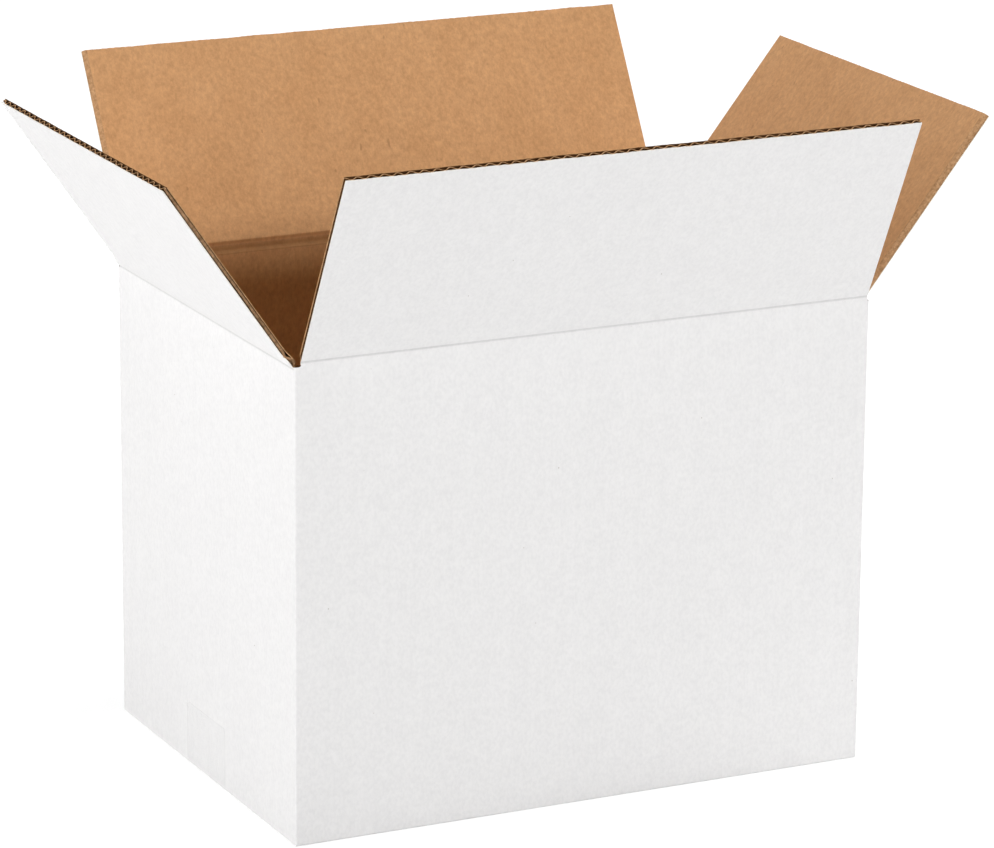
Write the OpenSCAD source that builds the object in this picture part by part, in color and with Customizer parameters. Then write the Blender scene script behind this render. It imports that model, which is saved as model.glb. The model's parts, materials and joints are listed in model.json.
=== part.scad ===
// Slotted corrugated shipping carton, folded from one sheet of single wall board.
// The bottom flaps are closed and taped, and the four top flaps stand open.
// X runs along the length, Y from front to back, and Z up from the floor.
// The origin is the centre of the underside.

/* [Board] */
// Thickness of the single wall board
board_t = 3; // [2.6:0.1:3.4]
// Thickness of each flat liner
liner_t = 0.4; // [0.3:0.05:0.5]
// Thickness of the wavy medium
medium_t = 0.35; // [0.25:0.05:0.45]
// Length of one wave of the medium
flute_pitch = 6.7; // [6:0.1:7.4]

/* [Box] */
// Inside length, along X
inner_length = 304.8; // [250:0.1:400]
// Inside width, along Y
inner_width = 216; // [180:1:260]
// Height of the top fold lines, midway between the long and the short ones
fold_height = 240.5; // [160:0.5:300]
// Radius of the four upright corners
corner_r = 1.8; // [1:0.1:2.8]
// Radius of the folds round the underside
bottom_fold_r = 1.5; // [1:0.1:2]

/* [Top flaps] */
// Lean of the front flap, outward from upright
front_tilt = 27.5; // [0:0.5:80]
// Lean of the back flap, outward from upright
back_tilt = 30.5; // [0:0.5:80]
// Lean of the left flap, outward from upright
left_tilt = 35; // [0:0.5:80]
// Lean of the right flap, outward from upright
right_tilt = 38.5; // [0:0.5:80]
// Distance from each end of a long flap to the outside of the box
long_inset = 3.4; // [3.4:0.1:5]
// Distance from each end of a short flap to the outside of the box
short_inset = 5.5; // [4:0.1:9]

/* [Fold lines] */
// Distance of each fold axis outside the outer face
axis_stand_off = 0.12; // [0.1:0.01:0.15]
// Height of the bevelled lips above and below each fold axis
lip_height = 0.25; // [0.24:0.01:0.4]
// Length over which the waves are crushed flat beside a fold
crush_length = 4; // [2:0.5:8]
// Clearance between layers that lie on each other
layer_clearance = 0.25; // [0.2:0.05:0.4]
// Gap between two long flaps where they meet
seam_gap = 0.44; // [0.3:0.02:1]
// Depth of the slot ends below the fold lines
slot_depth = 1.2; // [0.8:0.1:2]

/* [Glued joint] */
// Width of the lap glued inside the front wall
lap_width = 35; // [28:1:40]
// Distance of the lap from the fold lines above and below
lap_margin = 9; // [8:1:20]
// Slope of the lap's cut ends
lap_slope = 12; // [6:1:20]
// Width of the groove beside the front panel's cut edge
joint_groove = 0.9; // [0.5:0.1:1.2]

/* [Tape] */
// Width of the clear film along the bottom seam
tape_w = 48; // [36:1:60]
// Thickness of the film
tape_t = 0.1; // [0.08:0.01:0.15]
// Height of each tail up the end walls
tape_tail = 33; // [20:1:60]

/* [Hidden] */
$fn = 48;
outer_length = inner_length + 2 * board_t;
outer_width = inner_width + 2 * board_t;
half_length = outer_length / 2;
half_width = outer_width / 2;
// The long flaps close over the short ones, so their folds sit one layer higher.
layer_step = board_t + layer_clearance;
long_fold_z = fold_height + layer_step / 2;
short_fold_z = fold_height - layer_step / 2;
flap_length = half_width + axis_stand_off - seam_gap / 2;
long_flap_w = outer_length - 2 * long_inset;
short_flap_w = outer_width - 2 * short_inset;
// The waves run up to glue lines, where the medium's crests sink a little into the liners.
glue_depth = 0.08;
wave_reach = (board_t - 2 * liner_t - medium_t) / 2;
wave_amp = wave_reach + glue_depth;
channel_steps = 6;
// The film bends round the bottom folds.
tape_bend_r = bottom_fold_r + tape_t;
over = 1;

// An upright block with its four vertical edges rounded, standing on the floor plane.
module rounded_block(length, width, height, radius) {
    translate([-length / 2, -width / 2 + radius, 0])
        cube([length, width - 2 * radius, height]);
    translate([-length / 2 + radius, -width / 2, 0])
        cube([length - 2 * radius, width, height]);
    for (sx = [-1, 1], sy = [-1, 1])
        translate([sx * (length / 2 - radius), sy * (width / 2 - radius), 0])
            cylinder(r = radius, h = height);
}

// The square cut edge of the front panel, at the corner where the sheet's ends are glued.
module cut_edge() {
    translate([half_length - corner_r, -half_width, 0])
        cube([corner_r, corner_r, long_fold_z]);
}

// What a rounded lower edge of the given length leaves over, along X at y = 0, z = 0.
module lower_edge_waste(length, radius) {
    difference() {
        translate([-length / 2, -over, -over])
            cube([length, radius + over, radius + over]);
        translate([-length / 2 - over, radius, radius])
            rotate([0, 90, 0])
                cylinder(r = radius, h = length + 2 * over);
    }
}

// The score inside a wall's top: a bevel from the outer lip down to the inner face.
module wall_bevel_waste(length, fold_z) {
    lip_z = fold_z - lip_height;
    translate([length / 2, 0, 0])
        rotate([90, 0, -90])
            linear_extrude(length)
                polygon([
                    [over, lip_z + over],
                    [0, lip_z],
                    [-board_t - over, lip_z - board_t - over],
                    [-board_t - over, lip_z + over]
                ]);
}

// A slot end with a round bottom, cut through the wall that lies along Y = 0.
module slot_end_waste(inset, fold_z) {
    slot_z = fold_z - lip_height - slot_depth;
    slot_r = slot_depth;
    difference() {
        translate([-over, -over, slot_z])
            cube([inset + over, board_t + 2 * over, layer_step + slot_depth + over]);
        translate([inset - slot_r, -2 * over, slot_z])
            difference() {
                cube([slot_r + over, board_t + 4 * over, slot_r]);
                translate([0, -over, slot_r])
                    rotate([-90, 0, 0])
                        cylinder(r = slot_r, h = board_t + 6 * over);
            }
    }
}

// Everything taken off one wall's top: its bevel and its two slot ends.
module wall_top_waste(length, inset, fold_z) {
    translate([-length / 2, -over, fold_z - lip_height])
        cube([length, board_t + 2 * over, layer_step + over]);
    wall_bevel_waste(length - 2 * corner_r, fold_z);
    for (side = [0, 1])
        mirror([side, 0, 0])
            translate([-length / 2, 0, 0])
                slot_end_waste(inset, fold_z);
}

// The four walls, joined at their upright corners.
module walls() {
    difference() {
        union() {
            rounded_block(outer_length, outer_width, long_fold_z, corner_r);
            cut_edge();
        }
        translate([-inner_length / 2, -inner_width / 2, -over])
            cube([inner_length, inner_width, long_fold_z + 2 * over]);
        for (side = [0, 180])
            rotate([0, 0, side]) {
                translate([0, -half_width, 0])
                    wall_top_waste(outer_length, long_inset, long_fold_z);
                translate([0, -half_width, 0])
                    lower_edge_waste(outer_length + 2 * over, bottom_fold_r);
                rotate([0, 0, 90])
                    translate([0, -half_length, 0]) {
                        wall_top_waste(outer_width, short_inset, short_fold_z);
                        lower_edge_waste(outer_width + 2 * over, bottom_fold_r);
                    }
            }
    }
}

// The two long flaps under the box, which meet at the middle seam.
module bottom_long_flaps() {
    flap_reach = half_width - bottom_fold_r - seam_gap / 2;
    for (side = [0, 180])
        rotate([0, 0, side])
            translate([-half_length + long_inset, -half_width + bottom_fold_r, 0])
                cube([long_flap_w, flap_reach, board_t]);
}

// The two short flaps that lie on the long ones.
module bottom_short_flaps() {
    for (side = [-90, 90])
        rotate([0, 0, side])
            translate([-short_flap_w / 2, -half_length + board_t / 2, layer_step])
                cube([short_flap_w, flap_length - board_t / 2, board_t]);
}

// The lap of the right wall, glued flat inside the front wall.
module glue_lap() {
    lap_low = layer_step + board_t + lap_margin;
    lap_high = short_fold_z - board_t - lap_margin;
    root_x = inner_length / 2;
    tip_x = root_x - lap_width;
    translate([0, -inner_width / 2 + board_t, 0])
        rotate([90, 0, 0])
            linear_extrude(board_t * 1.2)
                polygon([
                    [root_x + board_t / 2, lap_low],
                    [root_x + board_t / 2, lap_high],
                    [root_x, lap_high],
                    [tip_x, lap_high - lap_slope],
                    [tip_x, lap_low + lap_slope],
                    [root_x, lap_low]
                ]);
}

// The groove between the front panel's cut edge and the fold of the right wall.
module joint_groove_waste() {
    translate([half_length + joint_groove / 3, -half_width + board_t + joint_groove / 2, -over])
        cylinder(r = joint_groove, h = long_fold_z + 2 * over);
}

// The bed that the film presses into under the box, so the underside stays level.
module tape_bed() {
    translate([-half_length + bottom_fold_r, -tape_w / 2, -over])
        cube([outer_length - 2 * bottom_fold_r, tape_w, tape_t + over]);
    for (side = [0, 1])
        mirror([side, 0, 0])
            difference() {
                translate([-half_length - over, -tape_w / 2, -over])
                    cube([bottom_fold_r + over, tape_w, tape_bend_r + over]);
                translate([-half_length + bottom_fold_r, 0, tape_bend_r])
                    rotate([90, 0, 0])
                        cylinder(r = bottom_fold_r, h = tape_w + 2 * over, center = true);
            }
}

module box_body() {
    color([0.96, 0.955, 0.945])
        difference() {
            union() {
                walls();
                bottom_long_flaps();
                bottom_short_flaps();
                glue_lap();
            }
            joint_groove_waste();
            tape_bed();
        }
}

// One channel of the fluted board, between a liner and the wavy medium, about a trough at x = 0.
module channel_outline() {
    face_y = wave_reach + medium_t / 2;
    start_angle = acos(-wave_reach / wave_amp);
    span = 2 * start_angle;
    points = [
        for (i = [0 : channel_steps])
            let (angle = -span / 2 + span * i / channel_steps)
                [flute_pitch * angle / 360, medium_t / 2 - wave_amp * cos(angle)]
    ];
    polygon(concat([[points[0][0], face_y]], [for (i = [1 : channel_steps - 1]) points[i]],
        [[points[channel_steps][0], face_y]]));
}

// All the open channels across a flap, on both sides of the medium.
module channels(width) {
    pairs = ceil(width / flute_pitch / 2) + 1;
    for (i = [-pairs : pairs]) {
        translate([i * flute_pitch, 0])
            channel_outline();
        translate([(i + 0.5) * flute_pitch, 0])
            mirror([0, 1])
                channel_outline();
    }
}

// A top flap standing upright over its fold axis, with its outer face towards -Y.
module flap_upright(width) {
    inner_y = axis_stand_off + board_t;
    channel_start = lip_height + board_t + crush_length;
    difference() {
        translate([width / 2, 0, 0])
            rotate([90, 0, -90])
                linear_extrude(width)
                    polygon([
                        [-axis_stand_off, lip_height],
                        [-axis_stand_off, flap_length],
                        [-inner_y, flap_length],
                        [-inner_y, lip_height + board_t]
                    ]);
        translate([0, axis_stand_off + board_t / 2, channel_start])
            linear_extrude(flap_length)
                channels(width);
    }
}

// A flap leaning outward on a wall: half_depth is the distance from the origin to the wall's
// outer face.
module leaning_flap(width, half_depth, fold_z, tilt, turn) {
    rotate([0, 0, turn])
        translate([0, -half_depth - axis_stand_off, fold_z])
            rotate([tilt, 0, 0])
                flap_upright(width);
}

module front_flap() {
    color([0.92, 0.915, 0.915])
        leaning_flap(long_flap_w, half_width, long_fold_z, front_tilt, 0);
}

module back_flap() {
    color([0.79, 0.6, 0.42])
        leaning_flap(long_flap_w, half_width, long_fold_z, back_tilt, 180);
}

module left_flap() {
    color([0.97, 0.965, 0.955])
        leaning_flap(short_flap_w, half_length, short_fold_z, left_tilt, -90);
}

module right_flap() {
    color([0.72, 0.54, 0.41])
        leaning_flap(short_flap_w, half_length, short_fold_z, right_tilt, 90);
}

// The clear film along the bottom seam, with a tail up each end wall.
module bottom_tape() {
    color([0.93, 0.94, 0.95, 0.5]) {
        translate([-half_length + bottom_fold_r, -tape_w / 2, 0])
            cube([outer_length - 2 * bottom_fold_r, tape_w, tape_t]);
        for (side = [0, 1])
            mirror([side, 0, 0])
                tape_tail();
    }
}

// The bend round the bottom fold and the tail above it, at the left end.
module tape_tail() {
    translate([-half_length - tape_t, -tape_w / 2, tape_bend_r])
        cube([tape_t, tape_w, tape_tail - tape_bend_r]);
    translate([-half_length + bottom_fold_r, tape_w / 2, tape_bend_r])
        rotate([90, 0, 0])
            intersection() {
                difference() {
                    cylinder(r = tape_bend_r, h = tape_w);
                    translate([0, 0, -over])
                        cylinder(r = bottom_fold_r, h = tape_w + 2 * over);
                }
                translate([-tape_bend_r, -tape_bend_r, 0])
                    cube([tape_bend_r, tape_bend_r, tape_w]);
            }
}

box_body();
front_flap();
back_flap();
left_flap();
right_flap();
bottom_tape();
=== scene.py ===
"""Looks of the slotted corrugated carton: fluted board, scored folds and clear tape."""

import json
from collections import namedtuple
from math import acos, cos, pi, radians, sin, sqrt

import bpy
import numpy as np
from mathutils import Matrix, Vector


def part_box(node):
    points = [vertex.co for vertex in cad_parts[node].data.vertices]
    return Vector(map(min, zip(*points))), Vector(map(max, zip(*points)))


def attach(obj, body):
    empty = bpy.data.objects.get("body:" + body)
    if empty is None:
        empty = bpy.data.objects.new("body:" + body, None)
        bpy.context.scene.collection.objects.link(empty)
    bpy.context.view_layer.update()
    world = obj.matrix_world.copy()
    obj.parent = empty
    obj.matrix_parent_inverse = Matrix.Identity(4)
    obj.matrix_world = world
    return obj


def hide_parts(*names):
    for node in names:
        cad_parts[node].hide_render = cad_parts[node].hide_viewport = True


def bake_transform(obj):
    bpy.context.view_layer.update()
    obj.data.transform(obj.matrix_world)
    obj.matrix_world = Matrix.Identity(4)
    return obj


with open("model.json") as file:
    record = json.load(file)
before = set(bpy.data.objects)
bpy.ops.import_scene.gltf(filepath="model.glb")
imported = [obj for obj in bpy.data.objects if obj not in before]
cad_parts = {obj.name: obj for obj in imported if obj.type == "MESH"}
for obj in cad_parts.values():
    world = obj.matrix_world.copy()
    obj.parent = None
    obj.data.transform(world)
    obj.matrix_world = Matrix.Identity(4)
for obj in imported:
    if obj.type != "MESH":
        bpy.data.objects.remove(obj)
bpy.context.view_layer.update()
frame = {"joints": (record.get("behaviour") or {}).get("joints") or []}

# All lengths are in metres, apart from those whose names say otherwise

# The board: its layers, its waves, how far the waves sink into the liners that they are glued to,
# and how far the liners sink between them
BOARD = 0.0030
LINER = 0.00040
MEDIUM = 0.00048
PITCH = 0.0067
GLUE_SINK = 0.00003
WASHBOARD = 0.00005

# Crushed board: how thick it is in a fold, and how far beside the fold a flap and a wall are crushed
NECK = 0.0013
CRUSH = 0.0025
WALL_CRUSH = 0.0028

# Cut edges: how far the knife pinches them shut and the gap that it leaves, how much a torn medium
# swells and how far in, and how far in a free edge is frayed
PINCH = 0.0018
PINCH_GAP = 0.0001
TORN = 0.00032
TORN_REACH = 0.0013
FRAY_REACH = 0.004

# The folds and corners
FOLD_HALF = 0.0012
FOLD_GROOVE = 0.00035
FOLD_GROOVE_WIDTH = 0.0006
CORNER_R = 0.0009
INNER_CORNER_R = 0.0004
FOOT_R = 0.0015
LAYER_STEP = 0.00325
SEAM_GAP = 0.00044

# The slots narrow to their rounded ends, so a flap widens beside its fold
LONG_FLARE = 0.0022
SHORT_FLARE = 0.0044
SHORT_FLARE_HEIGHT = 0.0085
FLARE_SLOPE = 2.3
SLOT_END_Z = 0.2400
SLOT_END_R = 0.0012

# The glued lap inside the front wall
LAP_WIDTH = 0.035
LAP_LOW = 0.01525
LAP_HIGH = 0.22688
LAP_SLOPE = 0.012

# The film, and the small rise of the base that makes room for it
FILM = 0.0001
SEAL = 0.00012
FILM_TOOTH = 0.0007
FILM_TOOTH_PITCH = 0.0021

# The film's tails stand off the walls: at least this far, only where they are this upright, and with
# a ripple that the height shifts
FILM_LEAST_LIFT = 0.00002
FILM_UPRIGHT = 0.9
FILM_LIFT_SLANT = 0.3

# What is uneven: the size of each ripple and its wavelength. The first three sizes are shares of the
# washboard, the waves' height and the swelling, and the others are lengths. A ripple is a sum of
# waves, whose peaks pass its usual height
UNEVEN_WASHBOARD = (0.35, 0.05)
UNEVEN_WAVES = (0.05, 0.02)
UNEVEN_TEAR = (0.5, 0.005)
FINE_FRAY = (0.00006, 0.003)
COARSE_FRAY = (0.00008, 0.03)
FILM_LIFT = (0.00002, 0.012)
RIPPLE_WAVES = 6
RIPPLE_PEAK = 1.4

# Seeds, one for each thing that is uneven; each flap has a group of its own
SEED = 20
OUTER_SEED, INNER_SEED, WAVE_SEED = 1, 2, 3
WALL_OUTER_SEED, WALL_INNER_SEED = 4, 5
FILM_SEED = 8
FLAP_SEEDS = 10

# How finely the board is drawn: points for each wave, columns that a cut edge lays open, and steps
# along a flap in its fold, crushed board, foot and leaf, with the rows beside its free edge
SAMPLES_PER_FLUTE = 10
WALL_SAMPLES_PER_FLUTE = 8
OPEN_COLUMNS = 4
PINCH_COLUMNS = 3
FOLD_STEPS, CRUSH_STEPS, FOOT_STEPS, LEAF_STEPS = 9, 6, 7, 5
FREE_EDGE_ROWS = (0.0015, 0.0007, 0.0002, 0.0)

# The walls: the heights of the rows in the rounded foot and above it, the number of rows in the
# crushed top, the steps round a corner, and the points of a slot's end as shares of its radius
WALL_FOOT = [0, 0.0001, 0.0003, 0.0006, 0.0010, FOOT_R]
WALL_SHAFT = list(np.linspace(0.008, 0.225, 16))
WALL_CRUSH_ROWS = 14
CORNER_STEPS = 6
SLOT_END_SHARES = (0.08, 0.25, 0.5, 0.75, 1.0)

# Rows of the base flaps, the lap and the film, and columns of the film
BASE_ROWS = 5
LAP_ROWS = 10
TAIL_ROWS, BEND_ROWS, UNDER_ROWS = 12, 9, 40
FILM_COLUMNS = 96

# Edges sharper than this many degrees are drawn sharp
SHARP_DEGREES = 32

# The attribute that carries each point's distance from a fold, and how far to each side of the fold
# its painted shade reaches, in millimetres
FOLD_MARK = "fold_mm"
FOLD_REACH_MM = 12

# The darkest and the lightest colour of each paper, and the colours of what is in it
WHITE_TONES = (0.858, 0.849, 0.847), (0.882, 0.873, 0.869)
KRAFT_TONES = (0.620, 0.335, 0.150), (0.675, 0.376, 0.177)
# The core's colours are painted shade: the flutes' hollows are near black though their paper is brown
SHADED_CORE_TONES = (0.070, 0.028, 0.008), (0.130, 0.058, 0.019)
OPENED_TONES = (0.160, 0.088, 0.042), (0.430, 0.250, 0.134)
CUT_TONES = (0.350, 0.190, 0.088), (0.600, 0.355, 0.185)
CREAM_TONES = (0.840, 0.770, 0.660), (0.940, 0.890, 0.810)
GLUE_TONES = (0.93, 0.93, 0.92), (1, 1, 1)
SPECK_COLOUR = (0.40, 0.36, 0.31)
SHIVE_COLOUR = (0.30, 0.155, 0.07)

# The painted shade of each liner by its distance from a fold in millimetres: below 0 on the wall, above
# 0 on the flap. The inner one gets warmer as it darkens, and the wall has a painted shade tint of its
# own
OUTER_CREASE_SHADE = [(-FOLD_REACH_MM, 1.0), (-0.8, 1.0), (-0.35, 0.84), (0, 0.80), (0.35, 0.84),
                (0.8, 1.0), (FOLD_REACH_MM, 1.0)]
INNER_CREASE_SHADE = [(-FOLD_REACH_MM, 1.0), (-3.2, 0.97), (-2.82, 0.77), (-2.35, 0.61), (-1.7, 0.54),
                (-1.2, 0.57), (-0.7, 0.62), (-0.2, 0.64), (0.5, 0.73), (1.0, 1.0),
                (FOLD_REACH_MM, 1.0)]
INNER_SHADE_WARMTH = 0.6
INNER_WALL_SHADE_TINT = (0.94, 1.0, 0.955)

# The camera, found from the box's edges in the photograph
IMAGE_WIDTH_PX = 994
FOCAL_PX = 5138
SENSOR_MM = 36
CAMERA_EYE = Vector((-1.091, -2.246, 0.876))
CAMERA_TURN = radians(26.01)
CAMERA_DROP = radians(15.88)
CAMERA_ROLL = radians(0.49)
CAMERA_REACH = 100

# The floor: its size, its colour to the light, and its glow and colour to the camera
FLOOR_RADIUS = 30
FLOOR_CORNERS = 96
FLOOR_COLOUR = (0.86, 0.86, 0.86, 1)
FLOOR_GLOW = 0.82
FLOOR_SHADE = (0.33, 0.33, 0.33, 1)

# The surround: its level to the object and to the camera
WHITE_LIGHT = (1, 1, 1, 1)
WORLD_LEVEL = 0.10
WORLD_SEEN_LEVEL = 1.0

# Each soft light: its place, the height of the point above the origin that it faces, its size and
# its watts
LIGHTS = {
    "left_soft": ((-5.6, -0.6, 0.85), 0.15, 3.6, 304),
    "front_soft": ((1.8, -5.8, 2.45), 0.25, 0.8, 190),
    "top_soft": ((1.2, 0, 4.90), 0.15, 1.6, 94),
    "right_soft": ((5.8, 0.2, 0.85), 0.15, 3.6, 160),
    "back_soft": ((0.2, 6.0, 0.85), 0.15, 3.6, 160),
}

UP = Vector((0, 0, 1))
BODY_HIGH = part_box("box_body")[1]
HALF_X = BODY_HIGH.x
HALF_Y = BODY_HIGH.y


def smooth_step(t):
    """0 below 0, 1 above 1, and an S between."""
    t = np.clip(t, 0.0, 1.0)
    return t * t * (3.0 - 2.0 * t)


def ripple(x, seed, size, wavelength):
    """A smooth irregular curve of about the size given, the same on each run."""
    rng = np.random.RandomState(SEED + seed)
    total = np.zeros_like(np.asarray(x, float))
    for _ in range(RIPPLE_WAVES):
        length = wavelength * rng.uniform(0.5, 2.0)
        total = total + np.sin(2 * pi * np.asarray(x) / length + rng.uniform(0, 2 * pi))
    return size * (total / sqrt(RIPPLE_WAVES / 2) / RIPPLE_PEAK)


def fold_mark(v):
    """A distance from a fold in millimetres, kept within the reach of the fold's tone."""
    return np.clip(v * 1000, -FOLD_REACH_MM, FOLD_REACH_MM)


# Materials


def shader(name, roughness, specular):
    """A new node material; returns it with its tree and its Principled node."""
    material = bpy.data.materials.new(name)
    material.use_nodes = True
    tree = material.node_tree
    principled = tree.nodes["Principled BSDF"]
    principled.inputs["Roughness"].default_value = roughness
    principled.inputs["Specular IOR Level"].default_value = specular
    return material, tree, principled


def feed(tree, socket, value):
    """Links a socket to another one, or sets it to a plain value."""
    if isinstance(value, bpy.types.NodeSocket):
        tree.links.new(value, socket)
    else:
        socket.default_value = value


def node(tree, kind, **inputs):
    """A node of the kind, with the named inputs set or linked."""
    made = tree.nodes.new(kind)
    for key, value in inputs.items():
        feed(tree, made.inputs[key.replace("_", " ")], value)
    return made


def own_place(tree):
    """Where a point lies on its piece."""
    return tree.nodes.new("ShaderNodeTexCoord").outputs["Object"]


def noise(tree, place, scale, stretch, detail=4.0, roughness=0.6):
    """Noise over a piece, stretched along some axes."""
    mapping = node(tree, "ShaderNodeMapping", Vector=place, Scale=stretch)
    texture = node(tree, "ShaderNodeTexNoise", Vector=mapping.outputs[0], Scale=scale,
                   Detail=detail, Roughness=roughness)
    return texture.outputs["Fac"]


def ramp(tree, factor, stops):
    """A colour ramp of (place, colour) stops."""
    made = tree.nodes.new("ShaderNodeValToRGB")
    tree.links.new(factor, made.inputs["Fac"])
    elements = made.color_ramp.elements
    elements[0].position, elements[0].color = stops[0][0], (*stops[0][1], 1)
    elements[1].position, elements[1].color = stops[-1][0], (*stops[-1][1], 1)
    for place, colour in stops[1:-1]:
        elements.new(place).color = (*colour, 1)
    return made.outputs["Color"]


def two_tones(tree, factor, low, high, tones):
    """The first colour where the factor is low, the second where it is high."""
    return ramp(tree, factor, [(low, tones[0]), (high, tones[1])])


def greys(first, second):
    """Two grey tones."""
    return (first, first, first), (second, second, second)


def scaled(tree, value, from_least, from_most, least=0.0, most=1.0):
    """A number brought from one range to another."""
    made = node(tree, "ShaderNodeMapRange", Value=value, From_Min=from_least, From_Max=from_most,
                To_Min=least, To_Max=most)
    return made.outputs[0]


def mix(tree, blend_type, factor, first, second):
    """Two colours mixed by a factor."""
    made = tree.nodes.new("ShaderNodeMix")
    made.data_type = "RGBA"
    made.blend_type = blend_type
    for number, value in ((0, factor), (6, first), (7, second)):
        feed(tree, made.inputs[number], value)
    return made.outputs[2]


def multiply(tree, colour, *tones):
    """A colour with tones laid over it."""
    for tone in tones:
        colour = mix(tree, "MULTIPLY", 1.0, colour, tone)
    return colour


def add_bump(tree, principled, heights):
    """Chains bumps of (height socket, strength, distance) into the normal."""
    normal = None
    for height, strength, distance in heights:
        made = node(tree, "ShaderNodeBump", Height=height, Strength=strength, Distance=distance)
        if normal is not None:
            tree.links.new(normal, made.inputs["Normal"])
        normal = made.outputs["Normal"]
    tree.links.new(normal, principled.inputs["Normal"])


def fold_shade(tree, stops, shade_warmth=0.0, wall_shade_tint=(1, 1, 1)):
    """Painted shade by the distance from a fold; the shade tint colours what lies furthest down the
    wall.
    """
    attribute = tree.nodes.new("ShaderNodeAttribute")
    attribute.attribute_name = FOLD_MARK
    near = scaled(tree, attribute.outputs["Fac"], -FOLD_REACH_MM, FOLD_REACH_MM)
    tones = [((mm / FOLD_REACH_MM + 1) / 2, (tone, tone ** (1 + shade_warmth / 3), tone ** (1 + shade_warmth)))
             for mm, tone in stops]
    tones[0] = (tones[0][0], tuple(a * b for a, b in zip(tones[0][1], wall_shade_tint)))
    return ramp(tree, near, tones)


def white_liner():
    """Bleached outer paper: faint cloudy formation, fine fibres, a few dark specks and a painted shade
    line along each fold.
    """
    material, tree, principled = shader("white_liner", roughness=0.62, specular=0.25)
    place = own_place(tree)
    clouds = noise(tree, place, 130, (1, 1, 1), detail=5, roughness=0.7)
    fibres = noise(tree, place, 620, (1, 1, 0.7), detail=3)
    streaks = noise(tree, place, 60, (3, 3, 0.12), detail=2)
    base = two_tones(tree, clouds, 0.32, 0.68, WHITE_TONES)
    fibre_tone = two_tones(tree, fibres, 0.35, 0.62, ((0.948, 0.948, 0.951), (1, 1, 1)))
    streak_tone = two_tones(tree, streaks, 0.35, 0.6, greys(0.993, 1))
    # Painted shade: a darker line along each fold
    colour = multiply(tree, base, fibre_tone, streak_tone, fold_shade(tree, OUTER_CREASE_SHADE))
    specks = node(tree, "ShaderNodeTexVoronoi", Vector=place, Scale=62)
    speck_mask = two_tones(tree, specks.outputs["Distance"], 0.012, 0.024, greys(0.8, 0))
    colour = mix(tree, "MIX", speck_mask, colour, (*SPECK_COLOUR, 1))
    tree.links.new(colour, principled.inputs["Base Color"])
    add_bump(tree, principled, [(clouds, 0.5, 0.0004), (fibres, 0.6, 0.00012)])
    return material


def kraft_liner():
    """Brown inner paper: long fibres, cloudy tone, darker shives, painted shade in each crease and a
    painted shade tint on the walls.
    """
    material, tree, principled = shader("kraft_liner", roughness=0.72, specular=0.2)
    place = own_place(tree)
    clouds = noise(tree, place, 45, (1, 1, 0.6), detail=5, roughness=0.6)
    mottle = noise(tree, place, 380, (1, 1, 0.7), detail=4, roughness=0.7)
    fibres = noise(tree, place, 1100, (1, 1, 0.3), detail=3, roughness=0.7)
    shives = noise(tree, place, 300, (1, 1, 0.12), detail=1)
    base = two_tones(tree, clouds, 0.3, 0.7, KRAFT_TONES)
    mottle_tone = two_tones(tree, mottle, 0.3, 0.65, ((0.83, 0.82, 0.80), (1.05, 1.05, 1.05)))
    fibre_tone = two_tones(tree, fibres, 0.3, 0.65, ((0.90, 0.89, 0.88), (1.02, 1.02, 1.02)))
    colour = multiply(tree, base, mottle_tone, fibre_tone)
    shive_mask = two_tones(tree, shives, 0.74, 0.80, greys(0, 0.45))
    colour = mix(tree, "MIX", shive_mask, colour, (*SHIVE_COLOUR, 1))
    # Painted shade: darker in each crease, warmer as it darkens, and tinted on the walls
    colour = multiply(tree, colour, fold_shade(tree, INNER_CREASE_SHADE, INNER_SHADE_WARMTH, INNER_WALL_SHADE_TINT))
    tree.links.new(colour, principled.inputs["Base Color"])
    add_bump(tree, principled, [(mottle, 0.35, 0.0002), (fibres, 0.4, 0.00008)])
    return material


def rough_paper(name, fineness, tones):
    """Unpressed or torn paper, as inside the flutes and on the cut edges; the flutes' near-black is
    painted shade.
    """
    material, tree, principled = shader(name, roughness=0.85, specular=0.1)
    fibres = noise(tree, own_place(tree), fineness, (1, 1, 1), detail=4)
    base = two_tones(tree, fibres, 0.32, 0.68, tones)
    tree.links.new(base, principled.inputs["Base Color"])
    add_bump(tree, principled, [(fibres, 0.5, 0.0001)])
    return material


def clear_film(name, least, most):
    """Clear packing tape: a gloss film with faint streaks in its glue, and how solid it looks."""
    material, tree, principled = shader(name, roughness=0.12, specular=0.5)
    place = own_place(tree)
    streaks = noise(tree, place, 160, (0.08, 1, 0.08), detail=3)
    glue = noise(tree, place, 900, (1, 1, 1), detail=2)
    base = two_tones(tree, glue, 0.3, 0.7, GLUE_TONES)
    tree.links.new(base, principled.inputs["Base Color"])
    solid = scaled(tree, streaks, 0.3, 0.7, least, most)
    tree.links.new(solid, principled.inputs["Alpha"])
    add_bump(tree, principled, [(streaks, 0.2, 0.0002), (glue, 0.1, 0.00005)])
    return material


WHITE = white_liner()
KRAFT = kraft_liner()
# The core is painted shade: near black inside the flutes
SHADED_CORE = rough_paper("board_core_painted_shade", 520, SHADED_CORE_TONES)
OPENED = rough_paper("open_flute", 640, OPENED_TONES)
CUT = rough_paper("cut_kraft", 640, CUT_TONES)
CREAM = rough_paper("cut_paper", 900, CREAM_TONES)
PAPERS = [WHITE, KRAFT, SHADED_CORE, OPENED, CUT, CREAM]
FILM_FACE = clear_film("clear_film", 0.015, 0.03)
FILM_EDGE = clear_film("film_edge", 0.15, 0.35)


# Mesh building


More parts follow.
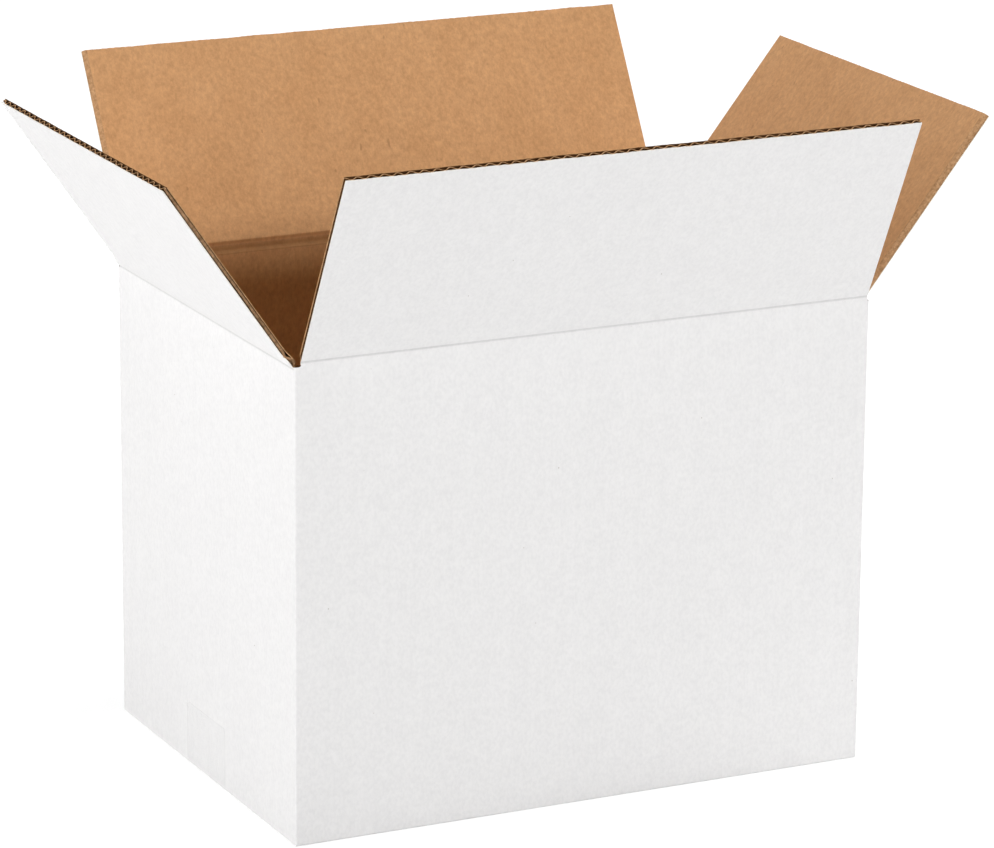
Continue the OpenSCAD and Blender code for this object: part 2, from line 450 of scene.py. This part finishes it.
class Piece:
    """Closed shells that end up in one mesh, with a material for each face."""

    def __init__(self, name, materials=PAPERS):
        self.name = name
        self.materials = materials
        self.points = []
        self.faces = []
        self.face_materials = []
        self.fold_marks = []
        self.count = 0

    def add_faces(self, index_grid, material, flip=False):
        """Quads over a grid of point numbers."""
        a, b = index_grid[:-1, :-1], index_grid[:-1, 1:]
        c, d = index_grid[1:, 1:], index_grid[1:, :-1]
        quads = np.stack([a, b, c, d] if not flip else [d, c, b, a], axis=-1).reshape(-1, 4)
        self.faces.append(quads)
        self.face_materials.append(np.full(len(quads), self.materials.index(material)))

    def add_slab(self, front, back, looks, closed=False, fold_mm=None, exposed=None):
        """A shell between two grids of points; closed joins the last column to the first.

        looks gives the materials of the front, the back, the side edges and the last row's edge.
        fold_mm is how far each point is from a fold. exposed gives the material of the faces that
        the cut edges lay open, and how many columns of them there are at the low and at the high
        side, and rows at the end.
        """
        front_look, back_look, side_look, end_look = looks
        rows, columns = front.shape[:2]
        numbers = np.arange(rows * columns).reshape(rows, columns)
        face = numbers + self.count
        hidden = numbers + self.count + rows * columns
        self.points += [front.reshape(-1, 3), back.reshape(-1, 3)]
        marks = np.full(rows * columns, -FOLD_REACH_MM, float) if fold_mm is None else fold_mm.ravel()
        self.fold_marks += [marks, marks]
        self.count += 2 * rows * columns
        if closed:
            face = np.concatenate([face, face[:, :1]], axis=1)
            hidden = np.concatenate([hidden, hidden[:, :1]], axis=1)
        for grid, look, flip in ((face, front_look, False), (hidden, back_look, True)):
            opened, low, high, end = exposed or (look, 0, 0, 0)
            right = grid.shape[1] - 1 - high
            self.add_faces(grid[:, :low + 1], opened, flip)
            self.add_faces(grid[:, right:], opened, flip)
            self.add_faces(grid[rows - 1 - end:, low:right + 1], opened, flip)
            self.add_faces(grid[:rows - end, low:right + 1], look, flip)
        self.add_faces(np.stack([hidden[0], face[0]]), side_look)
        self.add_faces(np.stack([face[-1], hidden[-1]]), end_look)
        if not closed:
            self.add_faces(np.stack([hidden[:, -1], face[:, -1]]), side_look, flip=True)
            self.add_faces(np.stack([face[:, 0], hidden[:, 0]]), side_look, flip=True)

    def build(self):
        """The finished object, smooth but for its sharp edges."""
        mesh = bpy.data.meshes.new(self.name)
        points = np.concatenate(self.points)
        quads = np.concatenate(self.faces)
        mesh.from_pydata(points.tolist(), [], quads.tolist())
        mesh.polygons.foreach_set("material_index", np.concatenate(self.face_materials))
        mesh.polygons.foreach_set("use_smooth", np.ones(len(quads), bool))
        mark = mesh.attributes.new(FOLD_MARK, "FLOAT", "POINT")
        mark.data.foreach_set("value", np.concatenate(self.fold_marks))
        for material in self.materials:
            mesh.materials.append(material)
        mesh.validate()
        mesh.update()
        mesh.set_sharp_from_angle(angle=radians(SHARP_DEGREES))
        made = bpy.data.objects.new(self.name, mesh)
        bpy.context.scene.collection.objects.link(made)
        return made


def board_thickness(v):
    """Thickness of the board at v from a fold: crushed beside it, and further on the wall's side."""
    reach = np.where(np.asarray(v) < 0, WALL_CRUSH, CRUSH)
    return NECK + (BOARD - NECK) * smooth_step((np.abs(v) - NECK / 2) / (reach - NECK / 2))


def fold_groove(v):
    """Depth of the thin line pressed into the outer face along a fold."""
    return FOLD_GROOVE * np.exp(-((v / FOLD_GROOVE_WIDTH) ** 2))


def washboard(u, phase, seed):
    """How far a liner sinks between the waves it is glued to."""
    depth = 1 + ripple(u, seed, *UNEVEN_WASHBOARD)
    return WASHBOARD * depth * (1 - np.cos(2 * pi * u / PITCH + phase)) / 2


def flute_columns(width):
    """How many steps of points the board has across its waves."""
    return int(round(width / PITCH)) * SAMPLES_PER_FLUTE


def wave(u, room, phase):
    """How far the medium swings from the middle of its room, and half its depth across the board."""
    reach = np.maximum(0.0, (room - 2 * LINER - MEDIUM) / 2 + GLUE_SINK)
    angle = 2 * pi * u / PITCH + phase
    swing = reach * np.cos(angle) * (1 + ripple(u, WAVE_SEED, *UNEVEN_WAVES))
    half = MEDIUM / 2 * np.sqrt(1 + (2 * pi / PITCH * reach * np.sin(angle)) ** 2)
    return swing, half


def add_board(piece, u, v, place, thickness, phase, groove=None, opened=None, pinched=None, torn=None):
    """The two liners and the medium over a grid of (u, v), with u across the waves.

    place turns u and v, with the depth below the outer face, into points. A groove is the depth
    of the line pressed into the outer face where v is 0. opened and pinched are how the cut edges
    lay open the medium and the inner liner. torn is how far a torn cut swells the medium.
    """

    def add_layer(top, bottom, looks, marks=None, exposed=None):
        """One paper, between two depths."""
        piece.add_slab(place((u, v), top), place((u, v), bottom), looks, fold_mm=marks, exposed=exposed)

    pressed = 0.0 if groove is None else groove
    marks = None if groove is None else fold_mark(v)
    outer = pressed + washboard(u, phase + pi, OUTER_SEED) * (thickness / BOARD)
    inner = thickness - washboard(u, phase, INNER_SEED) * (thickness / BOARD)
    add_layer(outer, outer + LINER, (WHITE, SHADED_CORE, CREAM, CREAM), marks)
    add_layer(inner - LINER, inner, (SHADED_CORE, KRAFT, CUT, SHADED_CORE), marks, pinched)
    room = thickness - pressed
    swing, half = wave(u, room, phase)
    middle = pressed + room / 2 + swing
    cut_look = CUT
    if torn is not None:
        half = np.minimum(half + torn, np.maximum(half, room / 2 - LINER))
        cut_look = OPENED
    add_layer(middle - half, middle + half, (SHADED_CORE, SHADED_CORE, cut_look, CUT),
              exposed=opened or (OPENED, OPEN_COLUMNS, OPEN_COLUMNS, 1))


# The folds

# How far each flap widens at its foot: at its low u end, at its high u end, and up to what height,
# or None for an even taper over the whole flap
FLARES = {
    "front_flap": (0.0, LONG_FLARE, None),
    "back_flap": (0.0, 0.0, None),
    "left_flap": (SHORT_FLARE, SHORT_FLARE, SHORT_FLARE_HEIGHT),
    "right_flap": (0.0, SHORT_FLARE, SHORT_FLARE_HEIGHT),
}

# One cut side of each flap: its u sign, where the medium's wave stands there from -1 at the outer
# liner to 1 at the inner one, and whether the knife left it open, pinched it shut or tore it
CUT_SIDES = {
    "front_flap": (-1, 1, "open"),
    "back_flap": (1, -1, "pinched"),
    "left_flap": (1, 0, "torn"),
    "right_flap": (-1, -1, "pinched"),
}


class Fold:
    """One top fold: where its axis is, how far its flap leans, and the flap's own size."""

    def __init__(self, joint):
        self.flap = joint["child"]
        self.axis = Vector(joint["pos_m"])
        self.along = Vector(joint["axis"])
        self.outward = self.along.cross(UP)
        self.tilt = radians(-joint["range_deg"][0] - 90)
        self.stand_off = self.axis.dot(self.outward) - (HALF_X if self.outward.x else HALF_Y)
        low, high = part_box(self.flap)
        self.half_width = abs((high - low).dot(self.along)) / 2
        tip_height = high.z - self.axis.z - (self.stand_off + BOARD) * sin(self.tilt)
        self.length = tip_height / cos(self.tilt)
        self.flare_low, self.flare_high, self.flare_height = FLARES[self.flap]
        self.base_low = -self.half_width - self.flare_low
        self.base_high = self.half_width + self.flare_high
        self.rim_z = self.axis.z - FOLD_HALF

    def place(self, grid, depth):
        """Points at u along the fold, v past it and the depth below the outer face."""
        u, v = (np.asarray(a)[..., None] for a in grid)
        depth = (depth + self.stand_off + np.zeros_like(grid[0]))[..., None]
        axis, along, outward, up = (np.array(a) for a in (self.axis, self.along, self.outward, UP))
        lean_up = cos(self.tilt) * up + sin(self.tilt) * outward
        lean_out = cos(self.tilt) * outward - sin(self.tilt) * up
        middle_out = cos(self.tilt / 2) * outward - sin(self.tilt / 2) * up
        wall = -depth * outward + np.minimum(v, -FOLD_HALF) * up
        leaf = -depth * lean_out + np.maximum(v, FOLD_HALF) * lean_up
        bend = -depth / cos(self.tilt / 2) * middle_out
        t = np.clip((v + FOLD_HALF) / (2 * FOLD_HALF), 0, 1)
        return axis + u * along + (1 - t) ** 2 * wall + 2 * t * (1 - t) * bend + t ** 2 * leaf

    def blend(self, piece):
        """Bakes where the piece stands into its points."""
        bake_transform(piece)


FOLDS = {joint["child"]: Fold(joint) for joint in frame["joints"]}


def flap_rows(length):
    """Distances from the fold at which a flap's rows lie: close by the fold and the free edge."""
    stretches = [(FOLD_HALF, FOLD_STEPS), (CRUSH, CRUSH_STEPS), (SHORT_FLARE_HEIGHT, FOOT_STEPS),
                 (length - FREE_EDGE_ROWS[0], LEAF_STEPS)]
    rows = [-FOLD_HALF]
    for end, steps in stretches:
        rows += list(np.linspace(rows[-1], end, steps + 1)[1:])
    return np.array(rows + [length - before for before in FREE_EDGE_ROWS[1:]])


def foot_widening(fold, rows):
    """The share of its flare that a flap has at each row."""
    if fold.flare_height is None:
        return np.clip(1 - rows / fold.length, 0, 1)
    return smooth_step(FLARE_SLOPE * (1 - (rows + FOLD_HALF) / (fold.flare_height + FOLD_HALF)))


def flap_grid(fold, seed):
    """The (u, v) grid of a flap, which widens at its foot and frays at its free edge."""
    rows = flap_rows(fold.length)
    share = np.linspace(0, 1, flute_columns(2 * fold.half_width) + 1)
    widening = foot_widening(fold, rows)
    low = -fold.half_width - fold.flare_low * widening
    high = fold.half_width + fold.flare_high * widening
    u = low[:, None] + (high - low)[:, None] * share[None, :]
    fray = ripple(u, seed, *FINE_FRAY) + ripple(u, seed + 1, *COARSE_FRAY)
    v = rows[:, None] + fray * smooth_step((rows - fold.length + FRAY_REACH) / FRAY_REACH)[:, None]
    return u, v


def make_flap(fold, seed):
    """A top flap with its fold, from the wall's rim to the open flutes of its free edge."""
    u, v = flap_grid(fold, seed)
    thickness = board_thickness(v)
    side, wave, cut = CUT_SIDES[fold.flap]
    phase = acos(wave) - side * 2 * pi * fold.half_width / PITCH
    away = np.abs((u[:, -1:] if side > 0 else u[:, :1]) - u)
    opened = (SHADED_CORE if cut == "open" else OPENED, OPEN_COLUMNS, OPEN_COLUMNS, 0)
    pinched = torn = None
    if cut == "pinched":
        shut = np.minimum(thickness, 2 * LINER + MEDIUM + PINCH_GAP)
        thickness = shut + (thickness - shut) * smooth_step(away / PINCH)
        pinched = (CUT, PINCH_COLUMNS if side < 0 else 0, PINCH_COLUMNS if side > 0 else 0, 0)
    if cut == "torn":
        torn = TORN * (1 - smooth_step(away / TORN_REACH)) * (1 + ripple(v, seed + 2, *UNEVEN_TEAR))
    piece = Piece(fold.flap + "_board")
    add_board(piece, u, v, fold.place, thickness, phase, fold_groove(v), opened, pinched, torn)
    made = piece.build()
    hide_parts(fold.flap)
    fold.blend(made)


# The walls


# A column of wall points: its place along a side, the side's directions, half its length and its
# distance from the middle, the column's top, whether it ends in a slot rather than in a flap, and
# how far round the corner it lies
Column = namedtuple("Column", "u out along half depth rim bare turn")


def slot_end(fold, gap):
    """(distance beyond a flap's foot, height) over the slot's end, rounded up to a higher foot."""
    rise = max(0.0, fold.rim_z - SLOT_END_Z)
    points = []
    for share in SLOT_END_SHARES:
        if share * SLOT_END_R < gap:
            points.append((share * SLOT_END_R, SLOT_END_Z + rise * (1 - sqrt(1 - (1 - share) ** 2))))
    return points + [(gap, SLOT_END_Z)]


def wall_columns():
    """The columns of wall points, going round the box."""
    columns = []
    for name in ("front_flap", "right_flap", "back_flap", "left_flap"):
        fold = FOLDS[name]
        half, depth = (HALF_Y, HALF_X) if fold.outward.x else (HALF_X, HALF_Y)
        out = np.array(fold.outward)[:2]
        along = np.array(fold.along)[:2]
        straight = half - CORNER_R
        low, high = fold.base_low, fold.base_high
        count = int(round((high - low) / PITCH * WALL_SAMPLES_PER_FLUTE))
        before = [(low - away, rim) for away, rim in reversed(slot_end(fold, straight + low))]
        under = [(u, None) for u in np.linspace(low, high, count)]
        after = [(high + away, rim) for away, rim in slot_end(fold, straight - high)]
        for u, rim in before + under + after:
            columns.append(Column(u, out, along, half, depth, rim or fold.rim_z, rim is not None, 0.0))
        for turn in np.linspace(0, pi / 2, CORNER_STEPS + 1)[1:-1]:
            columns.append(Column(straight, out, along, half, depth, SLOT_END_Z, True, turn))
    return columns


def wall_point(column, inset, inner):
    """The point of a column at the inset from the outer face; inner follows the tight corner."""
    radius = INNER_CORNER_R if inner else CORNER_R - inset
    reach = column.half - inset - radius
    shift = column.u * reach / (column.half - CORNER_R)
    centre = column.along * shift + column.out * (column.depth - inset - radius)
    return centre + radius * (cos(column.turn) * column.out + sin(column.turn) * column.along)


def wall_sags(column):
    """How far the wall's outer and inner face sink between the waves; a corner's don't."""
    if column.turn:
        return 0, 0
    u = np.array(column.u)
    return float(washboard(u, 0, WALL_OUTER_SEED)), float(washboard(u, pi, WALL_INNER_SEED))


def wall_insets(column, z, below, sags):
    """How deep the wall's outer and inner face lie at the height z, which is below the fold so far."""
    round_in = FOOT_R - sqrt(FOOT_R ** 2 - (FOOT_R - z) ** 2) if z < FOOT_R else 0
    thickness, groove = BOARD, 0
    if not column.bare:
        thickness, groove = float(board_thickness(-below)), float(fold_groove(below))
    fade = min(1.0, thickness / BOARD)
    return round_in + groove + sags[0] * fade, thickness - sags[1] * fade


def make_walls():
    """The four walls as one board, rounded into the base and crushed below each top fold."""
    columns = wall_columns()
    crushed = list(np.linspace(WALL_CRUSH, FOLD_HALF, WALL_CRUSH_ROWS))
    rows = len(WALL_FOOT) + len(WALL_SHAFT) + len(crushed)
    outer = np.zeros((rows, len(columns), 3))
    inner = np.zeros_like(outer)
    marks = np.zeros((rows, len(columns)))
    for j, column in enumerate(columns):
        fold_z = column.rim + FOLD_HALF
        sags = wall_sags(column)
        for i, z in enumerate(WALL_FOOT + WALL_SHAFT + [fold_z - below for below in crushed]):
            below = fold_z - z
            inset_out, inset_in = wall_insets(column, z, below, sags)
            outer[i, j] = (*wall_point(column, inset_out, False), z)
            inner[i, j] = (*wall_point(column, inset_in, True), z)
            marks[i, j] = -FOLD_REACH_MM if column.bare else fold_mark(-below)
    piece = Piece("wall_board")
    piece.add_slab(outer, inner, (WHITE, KRAFT, WHITE, SHADED_CORE), closed=True, fold_mm=marks)
    return piece.build()


# The base, the lap and the film


def flat_place(origin, along, outward, reach):
    """A place function for a flat board whose outer face has the origin and normal given."""
    origin, along, outward, reach = (np.array(a, float) for a in (origin, along, outward, reach))

    def place(grid, depth):
        u, v = (np.asarray(a)[..., None] for a in grid)
        depth = (depth + np.zeros_like(grid[0]))[..., None]
        return origin + u * along - depth * outward + v * reach

    return place


def flat_grid(width, length, rows):
    """An even grid of (u, v) over a rectangle from v = 0."""
    u = np.linspace(-width / 2, width / 2, flute_columns(width) + 1)
    return np.meshgrid(u, np.linspace(0, length, rows))


def flat_board(name, u, v, place):
    """A board of full thickness that lies flat."""
    piece = Piece(name)
    add_board(piece, u, v, place, np.full_like(u, BOARD), 0.0)
    return piece.build()


# Each closed bottom flap, and which way it reaches from its wall
BASE_FLAPS = {
    "base_front_flap": (0, 1),
    "base_back_flap": (0, -1),
    "base_left_flap": (1, 0),
    "base_right_flap": (-1, 0),
}


def make_base_flap(name, x, y):
    """A closed bottom flap: a long one underneath, or a short one on them."""
    if y:
        fold, length = FOLDS["front_flap"], HALF_Y - FOOT_R - SEAM_GAP / 2
        start, height = HALF_Y - FOOT_R, SEAL
    else:
        fold, length = FOLDS["left_flap"], FOLDS["left_flap"].length - BOARD
        start, height = HALF_X - BOARD, LAYER_STEP
    u, v = flat_grid(2 * fold.half_width, length, BASE_ROWS)
    place = flat_place((-x * start, -y * start, height), (y, -x, 0), (0, 0, -1), (x, y, 0))
    return flat_board(name, u, v, place)


def make_glue_lap():
    """The lap of the right wall, glued inside the front wall, with sloped ends."""
    half = LAP_WIDTH / 2
    u, share = flat_grid(LAP_WIDTH, 1, LAP_ROWS)
    slope = LAP_SLOPE * (half - u) / LAP_WIDTH
    v = (LAP_LOW + slope) * (1 - share) + (LAP_HIGH - slope) * share
    place = flat_place((HALF_X - BOARD - half, -HALF_Y + BOARD, 0), (1, 0, 0), (0, -1, 0), (0, 0, 1))
    return flat_board("glue_lap", u, v, place)


def film_path():
    """(x, z) points and outward normals along the film, from the left tail to the right one."""
    tail_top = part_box("bottom_tape")[1].z
    left = [((-HALF_X, z), (-1, 0)) for z in np.linspace(tail_top, FOOT_R + FILM, TAIL_ROWS)[:-1]]
    turn = [((-HALF_X + FOOT_R - FOOT_R * cos(a), FOOT_R + FILM - FOOT_R * sin(a)), (-cos(a), -sin(a)))
            for a in np.linspace(0, pi / 2, BEND_ROWS)]
    half = left + turn
    straight = np.linspace(-HALF_X + FOOT_R, HALF_X - FOOT_R, UNDER_ROWS)[1:-1]
    under = [((x, FILM), (0, -1)) for x in straight]
    mirrored = [((-x, z), (-nx, nz)) for (x, z), (nx, nz) in reversed(half)]
    return half + under + mirrored


def make_film():
    """The clear tape along the bottom seam, with a toothed cut at the end of each tail."""
    low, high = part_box("bottom_tape")
    path = film_path()
    y = np.linspace(low.y, high.y, FILM_COLUMNS)
    tooth = FILM_TOOTH * np.abs(2 * ((y / FILM_TOOTH_PITCH) % 1) - 1)
    front = np.zeros((len(path), len(y), 3))
    back = np.zeros_like(front)
    for i, ((x, z), (nx, nz)) in enumerate(path):
        drop = tooth if i in (0, len(path) - 1) else 0 * y
        lift = 0 * y
        if abs(nx) > FILM_UPRIGHT:
            lift = FILM_LEAST_LIFT + np.abs(ripple(y + FILM_LIFT_SLANT * z, FILM_SEED, *FILM_LIFT))
        for grid, off in ((front, FILM), (back, 0.0)):
            grid[i, :, 0] = x + nx * (off + lift)
            grid[i, :, 1] = y
            grid[i, :, 2] = z + nz * off - drop
    piece = Piece("tape_film", [FILM_FACE, FILM_EDGE])
    piece.add_slab(front, back, (FILM_FACE, FILM_FACE, FILM_EDGE, FILM_EDGE))
    return piece.build()


# The stage


def seen_by(tree, *rays):
    """1 for two kinds of rays, and 0 for the others."""
    path = tree.nodes.new("ShaderNodeLightPath")
    either = tree.nodes.new("ShaderNodeMath")
    either.operation = "MAXIMUM"
    for socket, ray in zip(either.inputs, rays):
        tree.links.new(path.outputs[ray], socket)
    return either.outputs[0]


def join_shaders(tree, kind, *sources):
    """Shaders added or mixed by a node of the kind."""
    made = tree.nodes.new(kind)
    for socket, source in zip(made.inputs, sources):
        tree.links.new(source, socket)
    return made.outputs[0]


def make_floor():
    """A pale floor that shows white to the camera and still takes the soft shadow."""
    bpy.ops.mesh.primitive_circle_add(vertices=FLOOR_CORNERS, radius=FLOOR_RADIUS, fill_type="NGON")
    floor = bpy.context.object
    floor.name = "studio_floor"
    material, tree, principled = shader("studio_floor", roughness=0.9, specular=0.1)
    principled.inputs["Base Color"].default_value = FLOOR_COLOUR
    glow = node(tree, "ShaderNodeEmission", Color=WHITE_LIGHT, Strength=FLOOR_GLOW)
    faint = node(tree, "ShaderNodeBsdfDiffuse", Color=FLOOR_SHADE)
    bright = join_shaders(tree, "ShaderNodeAddShader", glow.outputs[0], faint.outputs[0])
    seen = seen_by(tree, "Is Camera Ray", "Is Glossy Ray")
    blend = join_shaders(tree, "ShaderNodeMixShader", seen, principled.outputs[0], bright)
    tree.links.new(blend, tree.nodes["Material Output"].inputs["Surface"])
    floor.data.materials.append(material)


def make_world():
    """A white surround: full white to the camera, a plain level to the object."""
    world = bpy.data.worlds.new("studio")
    bpy.context.scene.world = world
    world.use_nodes = True
    tree = world.node_tree
    tree.nodes.clear()
    soft = node(tree, "ShaderNodeBackground", Color=WHITE_LIGHT, Strength=WORLD_LEVEL)
    white = node(tree, "ShaderNodeBackground", Color=WHITE_LIGHT, Strength=WORLD_SEEN_LEVEL)
    seen = seen_by(tree, "Is Camera Ray", "Is Transmission Ray")
    blend = join_shaders(tree, "ShaderNodeMixShader", seen, soft.outputs[0], white.outputs[0])
    node(tree, "ShaderNodeOutputWorld", Surface=blend)


def area_light(name, place, target_z, size, watts):
    """A square soft light that faces a point above the origin."""
    data = bpy.data.lights.new(name, "AREA")
    data.size = size
    data.energy = watts
    light = bpy.data.objects.new(name, data)
    light.location = place
    towards = Vector((0, 0, target_z)) - Vector(place)
    light.rotation_euler = towards.to_track_quat("-Z", "Y").to_euler()
    bpy.context.scene.collection.objects.link(light)


def make_lights():
    """Soft lights on all four sides and above, with the left one the strongest."""
    for name, settings in LIGHTS.items():
        area_light(name, *settings)


def make_camera():
    """The photograph's camera: a long lens, a little above the box and left of its front."""
    data = bpy.data.cameras.new("photo_camera")
    data.sensor_fit = "HORIZONTAL"
    data.sensor_width = SENSOR_MM
    data.lens = FOCAL_PX * SENSOR_MM / IMAGE_WIDTH_PX
    data.clip_end = CAMERA_REACH
    camera = bpy.data.objects.new("photo_camera", data)
    turn = Matrix.Rotation(-CAMERA_TURN, 4, "Z")
    drop = Matrix.Rotation(pi / 2 - CAMERA_DROP, 4, "X")
    roll = Matrix.Rotation(CAMERA_ROLL, 4, "Z")
    camera.matrix_world = Matrix.Translation(CAMERA_EYE) @ turn @ drop @ roll
    bpy.context.scene.collection.objects.link(camera)
    bpy.context.scene.camera = camera


make_camera()
make_world()
make_lights()
make_floor()

for number, fold in enumerate(FOLDS.values(), start=1):
    make_flap(fold, FLAP_SEEDS * number)

walls = make_walls()
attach(walls, "box")
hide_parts("box_body")
base = [make_base_flap(name, *reach) for name, reach in BASE_FLAPS.items()]
for board in base + [make_glue_lap()]:
    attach(board, "box")
film = make_film()
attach(film, "box")
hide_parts("bottom_tape")

bpy.context.scene.view_settings.view_transform = "Standard"
